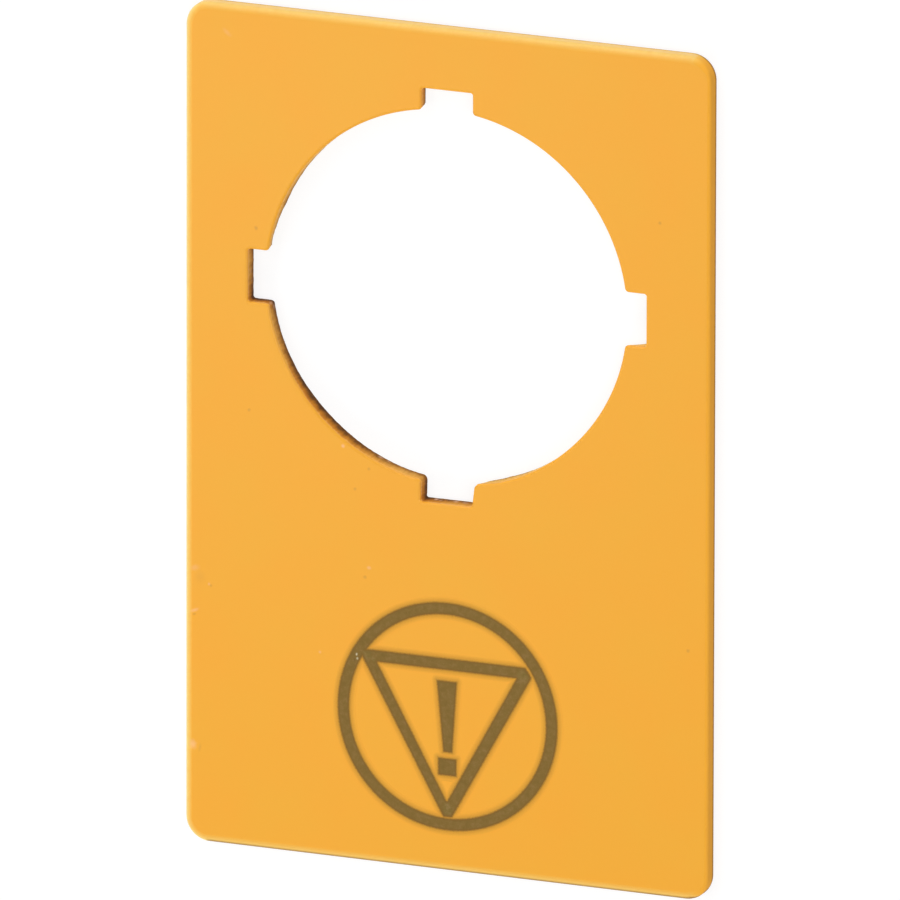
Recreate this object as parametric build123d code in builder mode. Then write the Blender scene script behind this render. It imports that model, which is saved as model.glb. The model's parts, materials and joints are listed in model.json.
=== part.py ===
# Emergency stop label: a thin rectangular plate with a round keyed hole. A push button's neck
# passes through the hole, and its collar clamps the plate against a panel.
# One piece, moulded and punched through. It lies on its back, in millimetres:
# X runs across the label, Y up it and Z out of its face. The origin is the hole's centre on the back.
import os

from build123d import *

# Plate
plate_width = 33.0
plate_height = 51.0
plate_thickness = 1.0
corner_radius = 1.5  # seen from the front
face_edge_radius = 0.5  # the soft edge round the face
back_edge_radius = 0.1  # the outer edge that meets the panel is hardly broken

# Hole, centred across the plate
hole_diameter = 22.6
hole_centre_to_top = 16.2  # leaves the lower part of the face for the sign
rim_radius = 0.15  # the hole's edge at the face, crisper than the plate's own

# Keyways round the hole, for the button's locating key in any of its quarter turns
keyway_count = 4
keyway_width = 3.2
keyway_depth = 1.2  # beyond the hole's wall
keyway_mouth_radius = 0.25
keyway_corner_radius = 0.15

# Places that follow from the sizes above
hole_radius = hole_diameter / 2
keyway_reach = hole_radius + keyway_depth
plate_centre_y = hole_centre_to_top - plate_height / 2


with BuildPart() as label_plate:
    # Outline with rounded corners
    with BuildSketch(Plane.XY) as outline:
        with Locations((0, plate_centre_y)):
            RectangleRounded(plate_width, plate_height, corner_radius)
    extrude(amount=plate_thickness)

    # Round hole, with a keyway at each quarter
    with BuildSketch(Plane.XY) as keyed_hole:
        Circle(hole_radius)
        with PolarLocations(keyway_reach / 2, keyway_count):
            Rectangle(keyway_reach, keyway_width)
        # The nearest corners to the centre are the keyways' mouths, and the furthest their ends
        fillet(keyed_hole.vertices().group_by(SortBy.DISTANCE)[0], keyway_mouth_radius)
        fillet(keyed_hole.vertices().group_by(SortBy.DISTANCE)[-1], keyway_corner_radius)
    extrude(amount=plate_thickness, mode=Mode.SUBTRACT)

    # Soft outer edge and crisp rim on the face, and a light break on the back
    face = label_plate.faces().sort_by(Axis.Z)[-1]
    fillet(face.outer_wire().edges(), face_edge_radius)
    face = label_plate.faces().sort_by(Axis.Z)[-1]
    fillet(face.inner_wires().edges(), rim_radius)
    back = label_plate.faces().sort_by(Axis.Z)[0]
    fillet(back.outer_wire().edges(), back_edge_radius)

label_plate.part.label = "label_plate"

os.makedirs("parts", exist_ok=True)
export_step(label_plate.part, "parts/label_plate.step")
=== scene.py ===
import json
import math

import bpy
import numpy as np
from mathutils import Matrix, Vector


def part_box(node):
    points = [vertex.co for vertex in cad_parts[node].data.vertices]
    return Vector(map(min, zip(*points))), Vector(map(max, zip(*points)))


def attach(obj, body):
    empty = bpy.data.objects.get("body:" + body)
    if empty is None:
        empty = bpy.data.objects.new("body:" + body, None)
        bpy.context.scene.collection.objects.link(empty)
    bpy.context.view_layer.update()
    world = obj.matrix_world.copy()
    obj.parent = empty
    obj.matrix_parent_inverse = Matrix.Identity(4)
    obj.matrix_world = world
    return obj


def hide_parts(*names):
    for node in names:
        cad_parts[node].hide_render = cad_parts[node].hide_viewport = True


# Emergency stop label for a push button: one thin yellow plastic plate with a keyed hole,
# lying on its back, and the emergency stop sign that is lasered into its face.
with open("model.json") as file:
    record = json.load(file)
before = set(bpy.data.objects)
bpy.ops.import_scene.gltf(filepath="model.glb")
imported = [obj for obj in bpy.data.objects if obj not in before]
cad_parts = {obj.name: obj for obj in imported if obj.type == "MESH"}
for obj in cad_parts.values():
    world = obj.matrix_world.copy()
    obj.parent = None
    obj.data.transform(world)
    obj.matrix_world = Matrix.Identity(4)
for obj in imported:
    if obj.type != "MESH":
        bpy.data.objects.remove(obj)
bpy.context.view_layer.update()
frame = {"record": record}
mm = 0.001
plateLow, plateHigh = (np.array(corner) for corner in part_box("label_plate"))
holeMount = next(mount for mount in frame["record"]["mounts"] if mount["name"] == "hole")
holeRadius = holeMount["dims"]["r_mm"] * mm
print("frame loaded")

# Sizes that the plate and the sign share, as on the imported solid
labelPlate = {
    "cornerRadius": 1.5 * mm,
    # radius of the soft edge round the face, in millimetres by the direction it faces: crisper at
    # the top and the right than on the solid, whose 0.5 mm is that of the left and the bottom
    "edgeRadii": ((0, 0.2), (25, 0.2), (65, 0.38), (115, 0.38), (160, 0.5), (290, 0.5), (335, 0.2),
                  (360, 0.2)),
    "backBreak": 0.1 * mm,  # outer edge on the back
    "rimRadius": 0.15 * mm,  # the hole's edge at the face
    "keywayWidth": 3.2 * mm,
    "keywayDepth": 1.2 * mm,  # beyond the hole's wall
    "mouthRadius": 0.25 * mm,
    "keywayCornerRadius": 0.15 * mm,
    "markHeight": 0.01 * mm,  # the sign stands this proud of the face, and its top is the frame's
    # The mesh: columns round the plate, spread by how far apart they would be on the hole's outline,
    # on the plate's and beside a dent, and by how far an outline may turn between two, in radians
    "columns": 1640,
    "holeSpacing": 0.1 * mm, "edgeSpacing": 0.35 * mm, "dentSpacing": 0.07 * mm, "columnTurn": 0.12,
    # Its rows: how many up the hole's wall, how far those of the face lie from the hole's edge and
    # from the plate's, in millimetres, how many there are between, and how far those of the back lie
    "wallRows": 10,
    "faceByHole": (0.03, 0.1, 0.25, 0.5),
    "faceByEdge": (2.2, 1.9, 1.65, 1.4, 1.2, 1.0, 0.82, 0.64, 0.46, 0.3, 0.15, 0.04),
    "faceBetween": 5,
    "backRows": (0.03, 0.4),
    # The punched wall: how deep it is torn, the spacing of its fine and coarse drag lines, and the
    # length of the ragged places towards the back, where it broke off
    "tearDepth": 0.022 * mm, "fineLines": 0.16 * mm, "coarseLines": 0.5 * mm, "raggedLength": 0.22 * mm,
    # Where the punch broke out at the back: angle about the hole, and how far the wall's back edge
    # stands out into the hole there, in millimetres (negative where it broke away into the sheet)
    "breakout": ((96.5, 0), (97, -0.10), (98.5, -0.10), (99.5, 0), (157, 0), (162, -0.08),
                 (166, -0.13), (168.5, -0.18), (171.5, -0.18), (172.5, 0), (198, 0), (210, 0.03),
                 (219, 0.075), (226, 0.10), (234, 0.10), (243, 0.075), (255, 0.055), (277.6, 0.055),
                 (278.2, -0.16), (279.4, -0.2), (280, -0.12), (282, -0.04), (285, 0.02),
                 (289, 0.055), (300, 0), (349, 0), (350.6, -0.16), (352, -0.2), (352.6, 0)),
    # Where the mouth of the lower keyway is rubbed out of shape: angle, and the shift across and up
    # in millimetres
    "rubbedMouth": ((277.2, 0, 0), (278.4, 0.22, 0.1), (280, 0.13, 0.1), (282, 0.03, 0.06),
                    (285, 0, 0.02), (287, 0, 0)),
    # How scorched the wall is, by the angle, and how much painted shade it carries on the walls that face
    # away from the lamps: most at the lower left and in the left and lower keyways, and clean from there on
    # round the right
    "scorchAndShade": ((96.5, 0), (97.2, 0.75), (98.2, 0.75), (99, 0.2), (135, 0.2), (150, 0.5), (156, 0.6),
               (170, 0.4), (173, 0.65), (180, 0.72), (185, 0.9), (188, 1), (191, 0.75), (196, 0.7),
               (205, 0.85), (215, 1), (231, 1), (240, 0.88), (250, 0.68), (258, 0.58),
               (261.5, 0.65), (262.2, 0.9), (263, 1), (266, 0.95), (269, 0.8), (277, 0.65),
               (278, 0.1), (281, 0.1), (283, 0.3), (295, 0.3), (303, 0)),
    # The outer edge, by the direction it faces: a painted highlight at the left, the top and the bottom,
    # dull at the right and painted a shade lighter there, and with a painted shade line low on all sides but
    # the left.
    # The way down it is the turn of the soft edge, then the upright wall down to 102, and the back break
    "wayDown": (*range(0, 100, 10), 94, 98, 102, 104, 106, 108),
    "paintedHighlightPlaces": ((0, 0), (35, 0.1), (75, 0.5), (110, 0.55), (140, 0.9), (180, 1), (250, 1),
                   (270, 0.85), (300, 0.6), (330, 0), (360, 0)),
    "paintedHighlightWay": ((0, 0.12), (30, 0.5), (50, 0.85), (67, 1), (90, 0.9), (108, 0.9)),
    # where it is dull it is also rougher and painted a shade lighter, a painted light on the right side that
    # the lamps leave darker
    "dullAndPaintedLightPlaces": ((0, 1), (45, 1), (75, 0), (290, 0), (330, 1), (360, 1)),
    "dullAndPaintedLightWay": ((5, 0), (20, 1), (108, 1)),
    # the places and the start of the painted shade line low on the edge, where the plate meets the floor
    "paintedShadePlaces": ((0, 0.95), (60, 0.95), (75, 0.5), (100, 0.35), (130, 0), (262, 0), (270, 0.85),
                    (360, 0.95)),
    "paintedShadeFrom": ((0, 98), (250, 98), (262, 38), (290, 38), (330, 98), (360, 98)),  # where it begins
    "paintedShadeFade": 4,  # how much further down it is at its full strength
}
faceHeight = plateHigh[2] - labelPlate["markHeight"]

# Small dents in the face beside the left edge, in millimetres: centre, half sizes across and
# along, and depth
dents = {
    "upper": {"place": (-16.10, -21.02), "halfSizes": (0.34, 0.36), "depth": 0.06},
    "lower": {"place": (-16.10, -28.92), "halfSizes": (0.38, 0.42), "depth": 0.085},
    "faint": {"place": (-15.60, -18.25), "halfSizes": (0.45, 0.38), "depth": 0.012},
}


def toLinear(hexColour):
    # sRGB hex to the linear values that the shaders work in
    values = np.array([int(hexColour[i:i + 2], 16) for i in (1, 3, 5)]) / 255
    linear = np.where(values <= 0.04045, values / 12.92, ((values + 0.055) / 1.055) ** 2.4)
    return (*linear.tolist(), 1.0)


def addNode(tree, kind, inputs=None, **settings):
    # one shader node: settings are its own options, inputs are values or the outputs to link
    node = tree.nodes.new(kind)
    for name, value in settings.items():
        setattr(node, name, value)
    for socket, value in (inputs or {}).items():
        if isinstance(value, bpy.types.NodeSocket):
            tree.links.new(value, node.inputs[socket])
        else:
            node.inputs[socket].default_value = value
    return node


def makePiece(name, points, faces, material, smooth=True):
    # a mesh with its place in its points, riding on the one body
    mesh = bpy.data.meshes.new(name)
    mesh.from_pydata(points.reshape(-1, 3).tolist(), [], faces.tolist())
    mesh.polygons.foreach_set("use_smooth", np.full(len(faces), smooth))
    if smooth:
        mesh.set_sharp_from_angle(angle=math.radians(50))
    mesh.materials.append(material)
    mesh.update()
    piece = bpy.data.objects.new(name, mesh)
    bpy.context.scene.collection.objects.link(piece)
    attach(piece, "root")
    return piece


def gridFaces(rows, columns, closedRows, closedColumns):
    # a quad between each pair of neighbouring rows and columns
    row, column = np.meshgrid(
        np.arange(rows if closedRows else rows - 1),
        np.arange(columns if closedColumns else columns - 1), indexing="ij")
    nextRow, nextColumn = (row + 1) % rows, (column + 1) % columns
    corners = ((row, column), (nextRow, column), (nextRow, nextColumn), (row, nextColumn))
    return np.stack([r * columns + c for r, c in corners], axis=-1).reshape(-1, 4)


# Outlines: dense points along arcs and lines, each with the direction into the material
finePoints = 400


def arcPath(centre, radius, start, end, materialInside):
    # equal turns about the centre, from one angle in degrees to another
    turn = np.radians(np.linspace(start, end, finePoints, endpoint=False))
    ring = np.stack((np.cos(turn), np.sin(turn)), axis=1)
    return np.array(centre) + radius * ring, -ring if materialInside else ring


def linePath(start, end, inward):
    # equal shares of the way from one point to another
    share = np.linspace(0, 1, finePoints, endpoint=False)[:, None]
    points = (1 - share) * np.array(start) + share * np.array(end)
    return points, np.broadcast_to(np.array(inward, float), points.shape)


def joinPaths(stretches):
    return tuple(np.concatenate(parts) for parts in zip(*stretches))


def keyedHolePath(plate):
    # a circle with a square keyway at each quarter: one quarter, about +X, turned four times
    half = plate["keywayWidth"] / 2
    reach = holeRadius + plate["keywayDepth"]
    mouth, corner = plate["mouthRadius"], plate["keywayCornerRadius"]
    mouthY = half + mouth
    mouthX = math.sqrt((holeRadius + mouth) ** 2 - mouthY ** 2)
    mouthTurn = math.degrees(math.atan2(mouthY, mouthX))
    cornerX, cornerY = reach - corner, half - corner
    points, inward = joinPaths([
        arcPath((0, 0), holeRadius, -45, -mouthTurn, False),
        arcPath((mouthX, -mouthY), mouth, 180 - mouthTurn, 90, True),
        linePath((mouthX, -half), (cornerX, -half), (0, -1)),
        arcPath((cornerX, -cornerY), corner, -90, 0, False),
        linePath((reach, -cornerY), (reach, cornerY), (1, 0)),
        arcPath((cornerX, cornerY), corner, 0, 90, False),
        linePath((cornerX, half), (mouthX, half), (0, 1)),
        arcPath((mouthX, mouthY), mouth, -90, mouthTurn - 180, True),
        arcPath((0, 0), holeRadius, mouthTurn, 45, False),
    ])
    quarters = [np.array([[c, s], [-s, c]]) for c, s in ((1, 0), (0, 1), (-1, 0), (0, -1))]
    return joinPaths([(points @ turn, inward @ turn) for turn in quarters])


def plateEdgePath(plate):
    # a rectangle with rounded corners
    (x0, y0), (x1, y1), r = plateLow[:2], plateHigh[:2], plate["cornerRadius"]
    return joinPaths([
        linePath((x1, y0 + r), (x1, y1 - r), (-1, 0)),
        arcPath((x1 - r, y1 - r), r, 0, 90, True),
        linePath((x1 - r, y1), (x0 + r, y1), (0, -1)),
        arcPath((x0 + r, y1 - r), r, 90, 180, True),
        linePath((x0, y1 - r), (x0, y0 + r), (1, 0)),
        arcPath((x0 + r, y0 + r), r, 180, 270, True),
        linePath((x0 + r, y0), (x1 - r, y0), (0, 1)),
        arcPath((x1 - r, y0 + r), r, 270, 360, True),
    ])


def matchByAngle(path, angles):
    # the path's points that lie at the given angles about the hole's centre
    points, inward = path
    own = np.arctan2(points[:, 1], points[:, 0])
    read = [np.interp(angles, own, values, period=2 * np.pi) for values in (*points.T, *inward.T)]
    inward = np.stack(read[2:], axis=1)
    return np.stack(read[:2], axis=1), inward / np.linalg.norm(inward, axis=1, keepdims=True)


def spreadColumns(hole, edge, plate):
    # Columns at equal shares of a running cost: the length of each step of both outlines over its
    # spacing, and the turn of its direction, with more steps within about 1 mm of a dent
    def step(values):
        return np.linalg.norm(np.roll(values, -1, axis=0) - values, axis=1)

    cost = step(hole[0]) / plate["holeSpacing"] + step(hole[1]) / plate["columnTurn"]
    cost += step(edge[0]) / plate["edgeSpacing"] + step(edge[1]) / plate["columnTurn"]
    onLeft = edge[0][:, 0] <= plateLow[0] + mm
    for dent in dents.values():
        away = edge[0][:, 1] / mm - dent["place"][1]
        cost += onLeft * step(edge[0]) / plate["dentSpacing"] * np.exp(-away ** 2)
    total = np.concatenate(([0], np.cumsum(cost)))
    shares = np.linspace(0, total[-1], plate["columns"], endpoint=False)
    place = np.interp(shares, total, np.arange(len(total)))

    def read(values):
        closed = np.vstack((values, values[:1]))
        return np.stack([np.interp(place, np.arange(len(closed)), part) for part in closed.T], axis=1)

    return [(read(points), read(inward)) for points, inward in (hole, edge)]


def wave(length, places, around, rng):
    # random heights from -1 to 1 at equal spaces along a closed line, joined by s^2 (3 - 2 s)
    count = max(4, round(around / length))
    heights = rng.uniform(-1, 1, count)
    at = (places / around * count) % count
    low = np.floor(at).astype(int) % count
    share = at - np.floor(at)
    share = share * share * (3 - 2 * share)
    return (1 - share) * heights[low] + share * heights[(low + 1) % count]


def readTable(table, at):
    # straight between the pairs of a table
    return np.interp(at, *np.transpose(table))


def dentDepths(points):
    # How far each dent sinks a point, at r half sizes from its centre: a bell-shaped dish,
    # exp(-1.2 (r / 0.75)^2), with a low lip round it, 0.12 exp(-((r - 1.25) / 0.3)^2)
    x, y = points[..., 0] / mm, points[..., 1] / mm
    sink = np.zeros(x.shape)
    for dent in dents.values():
        (centreX, centreY), (halfX, halfY) = dent["place"], dent["halfSizes"]
        r = np.hypot((x - centreX) / halfX, (y - centreY) / halfY)
        dish, lip = np.exp(-(r / 0.75) ** 2 * 1.2), 0.12 * np.exp(-((r - 1.25) / 0.3) ** 2)
        sink += dent["depth"] * (dish - lip)
    return np.maximum(sink, -0.004) * mm  # so that no lip rises as high as the sign


def plateTones(plate, shape, angle, facing, fromFace, edgeStart):
    # What the material reads at the mesh's points. On the hole's wall cutDepth goes from 0 at the
    # rim to 1 at the back, and scorch, which is partly painted shade, goes by the angle. On the outer edge the
    # painted highlight and the dull, painted lighter tone are a share by direction times one by the way down,
    # and the painted shade line is one by direction times a ramp
    names = ("cutDepth", "scorchAndShade", "paintedHighlight", "dullAndPaintedLight", "charAndPaintedShade")
    tones = {name: np.zeros(shape, np.float32) for name in names}
    wall = slice(0, plate["wallRows"])
    tones["cutDepth"][wall] = fromFace[:, None]
    tones["scorchAndShade"][wall] = readTable(plate["scorchAndShade"], angle)
    wayDown = np.array(plate["wayDown"])[:, None]
    edge = slice(edgeStart, edgeStart + len(wayDown))
    for name in ("paintedHighlight", "dullAndPaintedLight"):
        tones[name][edge] = (readTable(plate[name + "Way"], wayDown)
                             * readTable(plate[name + "Places"], facing))
    ramp = (wayDown - readTable(plate["paintedShadeFrom"], facing)) / plate["paintedShadeFade"]
    tones["charAndPaintedShade"][edge] = np.clip(ramp, 0, 1) * readTable(plate["paintedShadePlaces"], facing)
    return tones


def makePlate(plate, material):
    # The section of the sheet is carried round the hole. Each row is a line round the plate: it is
    # the hole's outline or the plate's, moved into the material, or a share of the way between
    # the two, and it has its own height.
    hole = keyedHolePath(plate)
    edge = matchByAngle(plateEdgePath(plate), np.arctan2(hole[0][:, 1], hole[0][:, 0]))
    hole, edge = spreadColumns(hole, edge, plate)
    columns, wallRows = plate["columns"], plate["wallRows"]
    rim, back = plate["rimRadius"], plate["backBreak"]
    facing = np.degrees(np.arctan2(-edge[1][:, 1], -edge[1][:, 0])) % 360
    soft = readTable(plate["edgeRadii"], facing) * mm
    angle = np.degrees(np.arctan2(hole[0][:, 1], hole[0][:, 0])) % 360
    quarterTurn = np.radians(np.linspace(0, 90, 10))

    # Rows of the hole's wall and rim, from the back up: inset and height
    wallHeights = np.linspace(0, faceHeight - rim, wallRows)
    holeInsets = np.concatenate((np.zeros(wallRows - 1), rim * (1 - np.cos(quarterTurn))))
    holeHeights = np.concatenate((wallHeights[:-1], faceHeight - rim * (1 - np.sin(quarterTurn))))
    # Rows of the outer edge, from the face down: the soft edge, two on the wall, and the back break
    down, allRound = quarterTurn[:, None], np.ones(columns)
    wallShares, breakDown = np.array(((2 / 3,), (1 / 3,))), down[::3]
    edgeInsets = np.concatenate((soft * (1 - np.sin(down)), 0 * wallShares * allRound,
                                 back * (1 - np.cos(breakDown)) * allRound))
    edgeHeights = np.concatenate((faceHeight - soft * (1 - np.cos(down)),
                                  back + wallShares * (faceHeight - soft - back),
                                  back * (1 - np.sin(breakDown)) * allRound))

    shifts = [readTable([(row[0], row[part]) for row in plate["rubbedMouth"]], angle) for part in (1, 2)]
    hole[0][:] += np.stack(shifts, axis=1) * mm
    holeRows = hole[0] + holeInsets[:, None, None] * hole[1]
    edgeRows = edge[0] + edgeInsets[:, :, None] * edge[1]

    # The punched wall: drag lines that run through it, rougher towards the back where it broke off
    rng = np.random.default_rng(22)
    along = np.concatenate(([0], np.cumsum(np.linalg.norm(np.diff(hole[0], axis=0), axis=1))))
    around = along[-1] + 0.05 * mm  # and the step from the last column to the first
    lines = 0.6 * wave(plate["fineLines"], along, around, rng)
    lines += 0.4 * wave(plate["coarseLines"], along, around, rng)
    ragged = np.stack([wave(plate["raggedLength"], along, around, rng) for _ in wallHeights])
    fromFace = 1 - wallHeights / wallHeights[-1]
    rough = (0.35 + 0.65 * fromFace)[:, None] * (1 + lines) / 2
    rough += 0.5 * fromFace[:, None] * (1 + ragged) / 2
    rough *= np.clip(fromFace * 6, 0, 1)[:, None] * plate["tearDepth"]
    rough -= fromFace[:, None] ** 1.3 * readTable(plate["breakout"], angle) * mm
    holeRows[:wallRows] += rough[:, :, None] * hole[1]

    # The face: close rows beside both edges, at set distances, and even shares between them
    span = np.linalg.norm(edgeRows[0] - holeRows[-1], axis=1)
    nearHole = np.array(plate["faceByHole"])[:, None] * mm / span
    nearEdge = 1 - np.array(plate["faceByEdge"])[:, None] * mm / span
    middle = np.linspace(0, 1, plate["faceBetween"] + 2)[1:-1, None]
    between = (1 - middle) * nearHole[-1] + middle * nearEdge[0]
    faceShares = np.concatenate((nearHole, between, nearEdge))[:, :, None]
    faceRows = (1 - faceShares) * holeRows[-1] + faceShares * edgeRows[0]

    # The back: close rows beside both edges
    span = np.linalg.norm(edgeRows[-1] - holeRows[0], axis=1)
    sideways = np.array(plate["backRows"])[:, None] * mm / span
    backShares = np.concatenate((1 - sideways, sideways[::-1]))[:, :, None]
    backRows = (1 - backShares) * holeRows[0] + backShares * edgeRows[-1]

    heights = np.concatenate((
        holeHeights[:, None] * allRound, faceHeight * np.ones((len(faceRows), columns)),
        edgeHeights, np.zeros((len(backRows), columns))))
    points = np.dstack((np.concatenate((holeRows, faceRows, edgeRows, backRows)), heights))
    upper = heights[:, 0] > plateHigh[2] / 2
    points[upper, :, 2] -= dentDepths(points[upper])

    piece = makePiece("label_plate_sheet", points, gridFaces(len(points), columns, True, True), material)
    tones = plateTones(plate, heights.shape, angle, facing, fromFace, len(holeRows) + len(faceRows))
    for name, values in tones.items():
        attribute = piece.data.attributes.new(name, "FLOAT", "POINT")
        attribute.data.foreach_set("value", values.ravel())
    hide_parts("label_plate")
    return piece


def noise(tree, vector, size, detail=3.0, roughness=0.5):
    # size is that of the pattern in millimetres
    return addNode(tree, "ShaderNodeTexNoise", {
        "Vector": vector, "Scale": 1 / (size * mm), "Detail": detail, "Roughness": roughness}).outputs["Fac"]


def spread(tree, value, low, high, toLow=0.0, toHigh=1.0):
    # straight from one range to the other, and held at its ends
    return addNode(tree, "ShaderNodeMapRange", {
        "Value": value, "From Min": low, "From Max": high,
        "To Min": toLow, "To Max": toHigh}).outputs["Result"]


def blend(tree, factor, first, second):
    # from the first colour to the second, each hex or the output of a node
    first, second = (toLinear(part) if isinstance(part, str) else part for part in (first, second))
    return addNode(tree, "ShaderNodeMix", {
        "Factor": factor, 6: first, 7: second}, data_type="RGBA").outputs[2]


def combine(tree, operation, first, second):
    # a sum, product or greater of two values
    return addNode(tree, "ShaderNodeMath", {0: first, 1: second}, operation=operation).outputs[0]


def readValue(tree, name):
    # a value that the mesh carries at its points
    return addNode(tree, "ShaderNodeAttribute", attribute_name=name).outputs["Fac"]


def newMaterial(name):
    material = bpy.data.materials.new(name)
    material.use_nodes = True
    tree = material.node_tree
    return material, tree, tree.nodes["Principled BSDF"], addNode(tree, "ShaderNodeTexCoord").outputs["Object"]


# The sheet's own yellow, which the sign's edges fade into
yellow = {
    "colour": "#F1A929", "warmer": "#F2A728", "cooler": "#EFAA2A",
    "driftSize": 5.0, "grainSize": 0.22, "grainShare": 0.35,  # slow drift of tone, and fine grain
    "roughness": 0.36, "ior": 1.53, "specularLevel": 0.42,
    # the mould's fine matt texture, drawn coarser than it is so that it shows
    "skinSize": 0.16, "skinHeight": 0.0015, "skinStrength": 0.5,
}


def yellowTone(tree, place):
    # warmer and cooler in slow drifts, with fine grains of the plain yellow over them
    drift = spread(tree, noise(tree, place, yellow["driftSize"]), 0.3, 0.7)
    grain = spread(tree, noise(tree, place, yellow["grainSize"]), 0.3, 0.7, 0.0, yellow["grainShare"])
    return blend(tree, grain, blend(tree, drift, yellow["warmer"], yellow["cooler"]), yellow["colour"])


def yellowPlasticMaterial():
    # Yellow plastic sheet, coloured right through and moulded with a fine matt skin: an even warm
    # yellow, softly shining at the edges, with a faint drift of tone and a few specks of dust. Painted
    # highlight and painted shade on its edges and the hole's wall stand in for light
    finish = {
        "cutRoughness": 0.85,
        # the wall's tones: clean and pale, then browns that are partly scorch and partly painted shade, the
        # darkest mostly painted shade at the back edge
        "cutClean": "#FDD87C", "scorchAndShade": "#CC8018", "scorchAndShadeDeep": "#945806", "scorchAndShadeDark": "#361C04",
        # the outer edge's tones: a painted highlight, a painted lighter tone where the lamps leave it dark,
        # and a painted shade line
        "edgeHighlight": "#FAEC92", "edgePaintedLight": "#F9B035", "edgePaintedShade": "#82491A",
        "streakSize": 0.3, "streakPace": 0.22,  # through the sheet the streaks change this much slower
        # the patches weaken the scorch and the painted shade alike
        "patchSize": 0.5,  # patches where the scorching is weaker
    }
    material, tree, shader, place = newMaterial("mattYellowPlastic")
    colour = yellowTone(tree, place)

    # The punched wall: clean and pale where it isn't scorched, else brown, partly scorch and partly painted
    # shade on the walls that face away from the lamps, with painted shade darker further down and nearly black
    # along its back edge, in streaks that run through the sheet
    cut, scorchAndShade, paintedHighlight, dullAndPaintedLight, charAndPaintedShade = (readValue(tree, name)
                                      for name in ("cutDepth", "scorchAndShade", "paintedHighlight", "dullAndPaintedLight", "charAndPaintedShade"))
    streakPlace = addNode(tree, "ShaderNodeMapping", {
        "Vector": place, "Scale": (1.0, 1.0, finish["streakPace"])}).outputs[0]
    streak = noise(tree, streakPlace, finish["streakSize"], 4.0, 0.65)
    broken = combine(tree, "ADD", cut, spread(tree, streak, 0.3, 0.7, -0.16, 0.16))
    deep = combine(tree, "ADD", broken, spread(tree, scorchAndShade, 0.6, 1.0, 0.0, 0.16))
    patch = spread(tree, noise(tree, place, finish["patchSize"]), 0.35, 0.65, 0.72, 1.0)
    colour = blend(tree, spread(tree, cut, 0.0, 0.45, 0.0, 0.8), colour, finish["cutClean"])
    # painted shade: every wall, scorched or not, darkens towards its back edge
    colour = blend(tree, spread(tree, broken, 0.6, 0.9, 0.0, 0.35), colour, finish["scorchAndShade"])
    # each tone sets in between two depths, up to a share of its own
    for tone, low, high, most in (("scorchAndShade", 0.06, 0.32, 1.0), ("scorchAndShadeDeep", 0.36, 0.68, 0.95),
                                  ("scorchAndShadeDark", 0.64, 0.92, 0.9)):
        amount = combine(tree, "MULTIPLY", spread(tree, deep, low, high, 0.0, most), scorchAndShade)
        if tone != "scorchAndShade":
            amount = combine(tree, "MULTIPLY", amount, patch)
        colour = blend(tree, amount, colour, finish[tone])

    # The outer edge: a painted highlight, a painted lighter tone where it is dull, and a painted shade line,
    # the highlight and the shade a little uneven in the same streaks
    unevenHighlight = combine(tree, "MULTIPLY", paintedHighlight, spread(tree, streak, 0.3, 0.7, 0.65, 0.9))
    unevenPaintedShade = combine(tree, "MULTIPLY", charAndPaintedShade, spread(tree, streak, 0.3, 0.7, 0.75, 1.0))
    colour = blend(tree, unevenHighlight, colour, finish["edgeHighlight"])
    colour = blend(tree, dullAndPaintedLight, colour, finish["edgePaintedLight"])
    colour = blend(tree, unevenPaintedShade, colour, finish["edgePaintedShade"])

    colour = addWear(tree, colour, place, plateWear)
    tree.links.new(colour, shader.inputs["Base Color"])
    finishSkin(tree, shader, place)
    worn = combine(tree, "MAXIMUM", combine(tree, "MAXIMUM", cut, charAndPaintedShade), dullAndPaintedLight)
    tree.links.new(spread(tree, worn, 0.02, 0.15, yellow["roughness"], finish["cutRoughness"]),
                   shader.inputs["Roughness"])
    return material


def finishSkin(tree, shader, place):
    # the fine moulded skin, and what is the same all over
    bump = addNode(tree, "ShaderNodeBump", {
        "Height": noise(tree, place, yellow["skinSize"]), "Strength": yellow["skinStrength"],
        "Distance": yellow["skinHeight"] * mm})
    tree.links.new(bump.outputs["Normal"], shader.inputs["Normal"])
    shader.inputs["IOR"].default_value = yellow["ior"]
    shader.inputs["Specular IOR Level"].default_value = yellow["specularLevel"]


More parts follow.
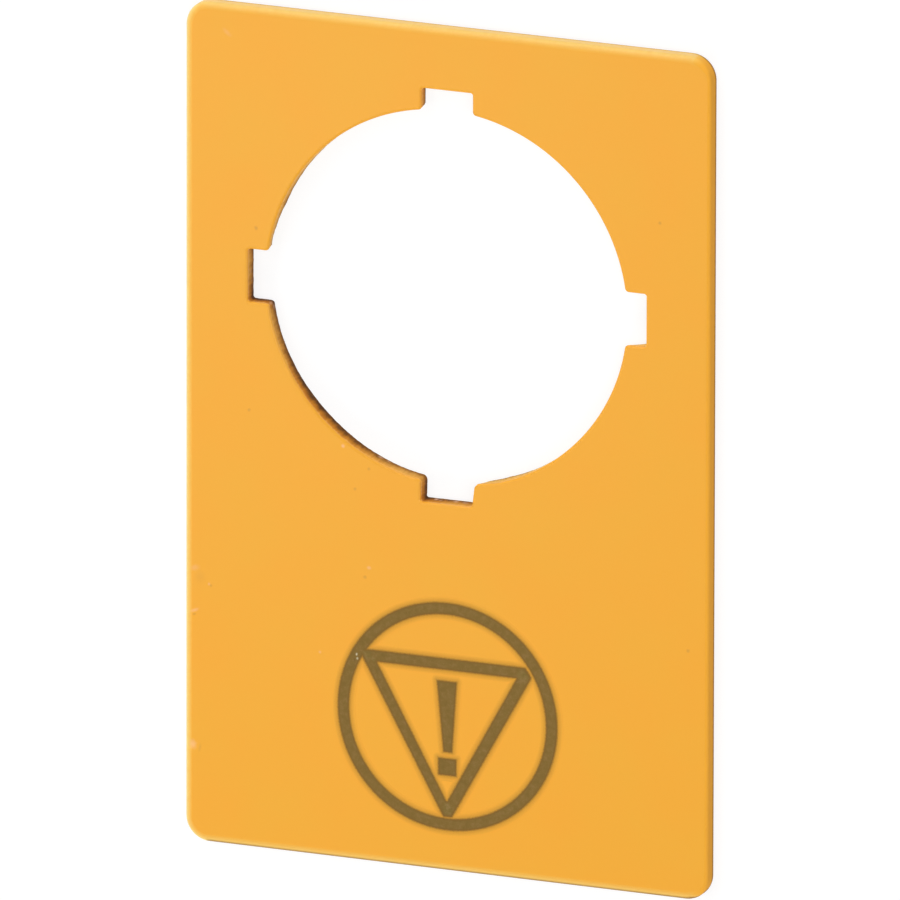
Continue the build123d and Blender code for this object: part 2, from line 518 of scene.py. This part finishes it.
# Small marks in the plastic, in millimetres from the hole's centre: place, half sizes, turn in
# degrees and how strong the mark is. Those on the hole's wall have a height too
plateWear = {
    "#F7C08E": [  # skin bruised pale beside the dents and scuffs
        ((-15.82, -20.69), (0.26, 0.09), 25, 0.5), ((-15.79, -18.10), (0.26, 0.16), 20, 0.3),
        ((-15.94, -28.87), (0.22, 0.26), 0, 0.5), ((-14.90, -19.00), (0.07, 0.08), 0, 0.5),
        ((-13.79, 14.55), (0.3, 0.12), -38, 0.22), ((-4.81, -16.87), (0.12, 0.1), 0, 0.5),
        ((-6.46, -9.66), (0.1, 0.1), 0, 0.7), ((-7.89, -22.34), (0.08, 0.08), 0, 0.5),
    ],
    "#C98A34": [  # specks of dust
        ((-15.85, -20.94), (0.12, 0.07), 20, 0.45), ((-15.47, -29.03), (0.08, 0.24), -10, 0.25),
        ((-14.78, -19.08), (0.07, 0.08), 0, 0.45), ((-15.47, -18.64), (0.3, 0.34), 0, 0.14),
        ((-11.95, 2.93), (0.1, 0.12), 0, 0.6), ((13.37, 6.02), (0.1, 0.1), 0, 0.5),
        ((-12.38, -8.14), (0.09, 0.09), 0, 0.5), ((-4.83, -10.87), (0.09, 0.09), 0, 0.45),
        ((-5.70, -12.18), (0.09, 0.09), 0, 0.45), ((15.23, -19.62), (0.1, 0.1), 0, 0.5),
        ((-5.07, -17.46), (0.1, 0.1), 0, 0.5),
    ],
    "#D8AC8C": [  # pale chips in the scorched wall
        ((-0.9, -12.5, 0.2), (0.12, 0.14, 0.14), 0, 0.95),
        ((-0.6, -12.5, 0.3), (0.1, 0.12, 0.1), 0, 0.5),
        ((0.35, -12.5, 0.22), (0.16, 0.14, 0.13), 0, 0.65),
        ((0.95, -12.5, 0.25), (0.18, 0.12, 0.12), 0, 0.45),
        ((-12.5, 0.1, 0.45), (0.12, 0.2, 0.12), 0, 0.3),
        ((-12.5, -0.45, 0.3), (0.12, 0.14, 0.1), 0, 0.2),
        ((-11.2, -1.65, 0.45), (0.12, 0.12, 0.2), 0, 0.5),
        ((-11.15, -1.95, 0.2), (0.12, 0.14, 0.12), 0, 0.5),
        ((-4.45, -10.35, 0.15), (0.16, 0.16, 0.1), 0, 0.6),
        ((-3.95, -10.55, 0.12), (0.12, 0.12, 0.08), 0, 0.5),
    ],
}
signWear = {
    "#D9D2B0": [  # flakes off the ring, near the triangle's left corner
        ((-5.58, -22.20), (0.05, 0.08), -15, 0.8), ((-5.53, -22.45), (0.06, 0.07), 0, 0.6),
    ],
    "#5E4614": [((-5.71, -22.54), (0.06, 0.09), 0, 0.6)],  # and the dark beside them
}
wearEdge = {"raggedSize": 0.14, "raggedShare": 0.9, "fadeStart": 0.8, "fadeEnd": 1.9}


def addWear(tree, colour, place, wear):
    # a mark is where sqrt((x / a)^2 + (y / b)^2), in its own turned axes, stays below about 1, and
    # one on the wall adds (z / c)^2. A fine noise added to it makes its edge ragged
    ragged = combine(tree, "MULTIPLY", noise(tree, place, wearEdge["raggedSize"]), wearEdge["raggedShare"])
    for hexColour, marks in wear.items():
        cover = None
        for spot, halfSizes, turn, strength in marks:
            x, y, z = (*spot, 0)[:3]
            a, b, c = (*halfSizes, 1000)[:3]  # a mark on the face has the same tone at any height
            own = addNode(tree, "ShaderNodeMapping", {
                "Vector": place, "Location": (x * mm, y * mm, z * mm),
                "Rotation": (0, 0, math.radians(turn)), "Scale": (a * mm, b * mm, c * mm)},
                vector_type="TEXTURE").outputs[0]
            away = addNode(tree, "ShaderNodeVectorMath", {0: own}, operation="LENGTH").outputs["Value"]
            mark = spread(tree, combine(tree, "ADD", away, ragged),
                          wearEdge["fadeStart"], wearEdge["fadeEnd"], strength, 0.0)
            cover = mark if cover is None else combine(tree, "MAXIMUM", cover, mark)
        colour = blend(tree, cover, colour, hexColour)
    return colour


def laserMarkMaterial():
    # Laser mark in yellow plastic: the beam foams and chars the skin to a dull olive brown, mottled
    # and a little browner at its edges, and its heat tints the yellow beside it
    finish = {
        "core": "#786024", "coreDark": "#6A5516", "coreLight": "#886D3B", "rim": "#755412",
        "mottleSize": 0.3, "grainSize": 0.1, "roughness": 0.6,
        # in millimetres from the sign's edge, negative inside it: where the browner rim sets in and
        # is full, where the char ends, and how far the heat's tint reaches and how strong it is
        "rimFrom": -0.24, "rimTo": -0.10, "charFrom": -0.08, "charTo": 0.11, "tintTo": 0.3, "tint": 0.42,
        "unevenness": 0.02,
    }
    material, tree, shader, place = newMaterial("laserMarkedPlastic")
    uneven = finish["unevenness"]
    grain = spread(tree, noise(tree, place, finish["grainSize"]), 0.3, 0.7, -uneven, uneven)
    distance = combine(tree, "ADD", readValue(tree, "signDistance"), grain)
    mottle = noise(tree, place, finish["mottleSize"], 4.0, 0.7)
    tone = blend(tree, spread(tree, mottle, 0.3, 0.5), finish["coreDark"], finish["core"])
    tone = blend(tree, spread(tree, mottle, 0.5, 0.7), tone, finish["coreLight"])
    tone = blend(tree, spread(tree, distance, finish["rimFrom"], finish["rimTo"]), tone, finish["rim"])
    charAndPaintedShade = combine(tree, "MAXIMUM",
                    spread(tree, distance, finish["charFrom"], finish["charTo"], 1.0, 0.0),
                    spread(tree, distance, 0.0, finish["tintTo"], finish["tint"], 0.0))
    colour = addWear(tree, blend(tree, charAndPaintedShade, yellowTone(tree, place), tone), place, signWear)
    tree.links.new(colour, shader.inputs["Base Color"])
    tree.links.new(spread(tree, charAndPaintedShade, 0.0, 1.0, yellow["roughness"], finish["roughness"]),
                   shader.inputs["Roughness"])
    finishSkin(tree, shader, place)
    return material


# The sign, in millimetres from its own centre: a ring round a triangle that points down, with an
# exclamation mark in it
stopSign = {
    "centre": (0.15, -25.345),  # from the hole's
    "ringOuter": 6.945, "ringInner": 6.155,
    # Corners of the triangle's stroke, paired: down the left leg, across the blunt tip, up the right
    # leg, round the blunt right corner and back along the top. Tip and corner just reach the ring,
    # and the left corner runs into it
    "triangleInner": ((-4.40, 2.80), (-0.05, -5.10), (-0.02, -5.10), (4.28, 2.79), (4.26, 2.79),
                      (4.23, 2.79)),
    "triangleOuter": ((-5.70, 3.57), (-0.27, -6.15), (0.31, -6.13), (5.31, 2.94), (5.16, 3.20),
                      (4.90, 3.56)),
    "triangleMiddle": (-0.06, 0.24), "triangleInradius": 2.56, "triangleStroke": 0.75,
    "barTop": 2.19, "barTopSides": (-0.72, 0.62), "barBottom": -2.20, "barBottomSides": (-0.29, 0.33),
    "dotTop": -2.51, "dotBottom": -3.615, "dotSides": (-0.62, 0.60),
    "thickness": 0.02, "step": 0.06,
    # lines beside each edge, from the tinted yellow outside it to its inside
    "edgeLines": (-0.32, -0.23, -0.15, -0.08, -0.02, 0.04, 0.10, 0.18),
    # A band is this share of the mark's height outside the edge, and rises to the rest of it over
    # this width. Each is dropped by its own amount, so that no two bands lie in one plane
    "lowShare": 0.6, "riseWidth": 0.2,
    "drops": {"ring": 0.0, "triangle": 0.0045, "bar": 0.0015, "dot": 0.003},
}


def polygonDistance(points, corners):
    # distance to the nearest side, negative where a line to one side crosses an odd number of sides
    nearest, inside = np.full(points.shape[:-1], np.inf), np.zeros(points.shape[:-1], bool)
    for a, b in zip(np.array(corners), np.array(corners[1:] + corners[:1])):
        side, away = b - a, points - a
        share = np.clip(away @ side / (side @ side), 0, 1)
        nearest = np.minimum(nearest, np.linalg.norm(away - share[..., None] * side, axis=-1))
        if side[1]:
            crosses = (a[1] > points[..., 1]) != (b[1] > points[..., 1])
            inside ^= crosses & (away[..., 0] < side[0] * away[..., 1] / side[1])
    return np.where(inside, -nearest, nearest)


def barCorners(name):
    # four corners, from the upper left on
    top, bottom = stopSign[name + "Top"], stopSign[name + "Bottom"]
    topSides = stopSign.get(name + "TopSides") or stopSign[name + "Sides"]
    bottomSides = stopSign.get(name + "BottomSides") or stopSign[name + "Sides"]
    return (topSides[0], top), (bottomSides[0], bottom), (bottomSides[1], bottom), (topSides[1], top)


def signDistance(points):
    # distance from the whole sign's edge: the least of its shapes', negative inside
    radius = np.linalg.norm(points, axis=-1)
    return np.minimum.reduce([
        np.maximum(stopSign["ringInner"] - radius, radius - stopSign["ringOuter"]),
        np.maximum(polygonDistance(points, stopSign["triangleOuter"]),
                   -polygonDistance(points, stopSign["triangleInner"])),
        polygonDistance(points, barCorners("bar")), polygonDistance(points, barCorners("dot"))])


def cornerLoop(corners, counts):
    # equal shares along each side of a closed polygon
    ends = corners[1:] + corners[:1]
    shares = [np.linspace(0, 1, count, endpoint=False)[:, None] for count in counts]
    return np.concatenate([
        (1 - share) * np.array(a) + share * np.array(b) for a, b, share in zip(corners, ends, shares)])


def makeMark(name, lines, closed, material):
    # A low flat band over parallel lines. It rises straight across the sign's edge, over the rise's
    # width, and carries the distance from that edge
    distance = signDistance(lines)
    rise = np.clip(0.5 - distance / stopSign["riseWidth"], 0, 1)
    share = stopSign["lowShare"] + (1 - stopSign["lowShare"]) * rise
    height = faceHeight + share * labelPlate["markHeight"] - stopSign["drops"][name] * mm
    points = np.dstack(((np.array(stopSign["centre"]) + lines) * mm, height))
    faces = gridFaces(*points.shape[:2], False, closed)
    piece = makePiece("sign_" + name, points, faces, material, smooth=False)
    values = piece.data.attributes.new("signDistance", "FLOAT", "POINT")
    values.data.foreach_set("value", distance.astype(np.float32).ravel())
    thick = piece.modifiers.new("thickness", "SOLIDIFY")
    thick.thickness = stopSign["thickness"] * mm
    thick.offset = -1
    return piece


def makeSign(material):
    # Bands of parallel lines. The ring's are circles
    step, edgeLines = stopSign["step"], np.array(stopSign["edgeLines"])
    turn = np.linspace(0, 2 * np.pi, int(2 * np.pi * stopSign["ringOuter"] / step), endpoint=False)
    ring = np.stack((np.cos(turn), np.sin(turn)), axis=1)
    radii = np.concatenate((stopSign["ringInner"] + edgeLines, stopSign["ringOuter"] - edgeLines[::-1]))
    makeMark("ring", radii[:, None, None] * ring, True, material)

    # The triangle's are its two loops, scaled about its middle, which moves their sides in parallel
    inner, outer, middle = (stopSign["triangle" + part] for part in ("Inner", "Outer", "Middle"))
    lengths = [math.dist(a, b) for a, b in zip(outer, outer[1:] + outer[:1])]
    counts = [max(2, int(length / step)) for length in lengths]
    inradius = stopSign["triangleInradius"]
    innerScales = 1 + edgeLines / inradius
    outerScales = 1 - edgeLines[::-1] / (inradius + stopSign["triangleStroke"])
    lines = [middle + scale * (cornerLoop(corners, counts) - middle)
             for corners, scales in ((inner, innerScales), (outer, outerScales)) for scale in scales]
    makeMark("triangle", np.stack(lines), True, material)

    # The bar's and the dot's go across, between sides that lean
    for name in ("bar", "dot"):
        (topLeft, top), (bottomLeft, bottom), (bottomRight, _), (topRight, _) = barCorners(name)
        inside = np.arange(bottom + edgeLines[-1], top - edgeLines[-1], step)[1:]
        y = np.concatenate((bottom + edgeLines, inside, top - edgeLines[::-1]))[::-1, None]
        share = (top - y) / (top - bottom)
        left = (1 - share) * topLeft + share * bottomLeft
        right = (1 - share) * topRight + share * bottomRight
        x = np.concatenate((left + edgeLines, right - edgeLines[::-1]), axis=1)
        makeMark(name, np.dstack((x, np.broadcast_to(y, x.shape))), False, material)


makePlate(labelPlate, yellowPlasticMaterial())
print("plate made")
makeSign(laserMarkMaterial())
print("sign made")

# Floor, light and camera
studio = {
    "floorSide": 4.0, "floorDrop": 0.02 * mm,  # just below the plate, so that they don't share a plane
    "floorBounce": 0.55,  # how much of its light the floor sends back
    "floorShade": 0.22, "floorGlow": 0.82,  # what the camera sees of it: lit, and glowing by itself
    "skyLight": 0.25,  # what the even sky gives a level surface, as a share of plain light
    # each lamp: direction from the plate, distance, size and share of plain light. The low ones give
    # no shine, which would glare on the face in views from the side
    "lowLamps": ("leftLamp", "farLamp", "nearLamp"),
    "lamps": {
        "overheadLamp": {"direction": (0.64, 0.05, 0.76), "distance": 0.9, "size": 0.7, "share": 0.305},
        "topLamp": {"direction": (-0.40, 0.55, 0.75), "distance": 0.4, "size": 0.22, "share": 0.075},
        "leftLamp": {"direction": (-0.95, -0.22, 0.30), "distance": 0.4, "size": 0.26, "share": 0.11},
        "farLamp": {"direction": (-0.15, 0.95, 0.24), "distance": 0.6, "size": 0.4, "share": 0.14},
        # where the camera's sight is mirrored: a faint shine that fades from the upper left
        "shineLamp": {"direction": (-0.41, -0.15, 0.89), "distance": 0.25, "size": 0.07, "share": 0.055},
        "nearLamp": {"direction": (0.0, -0.92, 0.35), "distance": 0.9, "size": 0.5, "share": 0.15},
    },
}


def cameraRays(tree):
    # 1 for what the camera sees, directly, in a reflection or through glass
    rays = addNode(tree, "ShaderNodeLightPath").outputs
    seen = combine(tree, "MAXIMUM", rays["Is Camera Ray"], rays["Is Glossy Ray"])
    return combine(tree, "MAXIMUM", seen, rays["Is Transmission Ray"])


def makeStudio():
    # A sky that the camera sees as white
    world = bpy.data.worlds.new("studio")
    bpy.context.scene.world = world
    world.use_nodes = True
    tree = world.node_tree
    sky = tree.nodes["Background"]
    sky.inputs["Color"].default_value = (1, 1, 1, 1)
    tree.links.new(spread(tree, cameraRays(tree), 0.0, 1.0, studio["skyLight"], 1.0), sky.inputs["Strength"])

    # Pale floor: it takes the plate's shadow, and glows for the camera alone up to white
    material = bpy.data.materials.new("paleFloor")
    material.use_nodes = True
    tree = material.node_tree
    tree.nodes.remove(tree.nodes["Principled BSDF"])
    seen = cameraRays(tree)
    shade = addNode(tree, "ShaderNodeBsdfDiffuse", {
        "Color": spread(tree, seen, 0.0, 1.0, studio["floorBounce"], studio["floorShade"])})
    glow = addNode(tree, "ShaderNodeEmission", {
        "Strength": combine(tree, "MULTIPLY", seen, studio["floorGlow"])})
    both = addNode(tree, "ShaderNodeAddShader", {0: shade.outputs[0], 1: glow.outputs[0]})
    tree.links.new(both.outputs[0], tree.nodes["Material Output"].inputs["Surface"])
    half = studio["floorSide"] / 2
    corners = [(x * half, y * half, -studio["floorDrop"]) for x, y in ((-1, -1), (1, -1), (1, 1), (-1, 1))]
    mesh = bpy.data.meshes.new("floor")
    mesh.from_pydata(corners, [], [(0, 1, 2, 3)])
    mesh.materials.append(material)
    floor = bpy.data.objects.new("floor", mesh)
    bpy.context.scene.collection.objects.link(floor)

    middle = (plateLow + plateHigh) / 2
    for name, lamp in studio["lamps"].items():
        towards = np.array(lamp["direction"]) / np.linalg.norm(lamp["direction"])
        light = bpy.data.lights.new(name, "AREA")
        light.shape = "DISK"
        light.size = lamp["size"]
        # power = share * pi^2 * distance^2 / (upward part of its direction) gives a level surface
        # that share of plain light
        light.energy = lamp["share"] * math.pi ** 2 * lamp["distance"] ** 2 / towards[2]
        lampObject = bpy.data.objects.new(name, light)
        lampObject.location = middle + towards * lamp["distance"]
        lampObject.visible_glossy = name not in studio["lowLamps"]
        aim(lampObject, towards)
        bpy.context.scene.collection.objects.link(lampObject)


def aim(item, back, roll=0.0):
    # turns an object so that its own +Z points along back and its +Y up the plate, then rolls it
    back = np.array(back) / np.linalg.norm(back)
    up = np.array((0, 1, 0)) - back[1] * back
    up /= np.linalg.norm(up)
    right = np.cross(up, back)
    c, s = math.cos(math.radians(roll)), math.sin(math.radians(roll))
    axes = np.stack((c * right + s * up, c * up - s * right, back), axis=1)
    item.rotation_mode = "QUATERNION"
    item.rotation_quaternion = Matrix(axes.tolist()).to_quaternion()


# The camera looks down on the face, from the right of it and a little from its top
cameraView = {
    "lens": 1600.0, "sensor": 36.0, "distance": 2.32545,
    "turn": 22.226, "tilt": 16.291, "roll": 0.130,  # degrees
    "offset": (0.269, 0.154),  # millimetres from the plate's middle to where it looks
}


def makeCamera():
    data = bpy.data.cameras.new("camera")
    data.lens = cameraView["lens"]
    data.sensor_width = cameraView["sensor"]
    data.clip_start, data.clip_end = 0.1, 10.0
    camera = bpy.data.objects.new("camera", data)
    turn, tilt = math.radians(cameraView["turn"]), math.radians(cameraView["tilt"])
    back = np.array((math.sin(turn) * math.cos(tilt), math.sin(tilt), math.cos(turn) * math.cos(tilt)))
    offset = np.array((*cameraView["offset"], 0)) * mm
    target = np.array((*((plateLow + plateHigh) / 2)[:2], plateHigh[2])) + offset
    camera.location = target + back * cameraView["distance"]
    aim(camera, back, cameraView["roll"])
    bpy.context.scene.collection.objects.link(camera)
    bpy.context.scene.camera = camera


makeStudio()
makeCamera()
bpy.context.scene.view_settings.view_transform = "Standard"
print("studio and camera made")
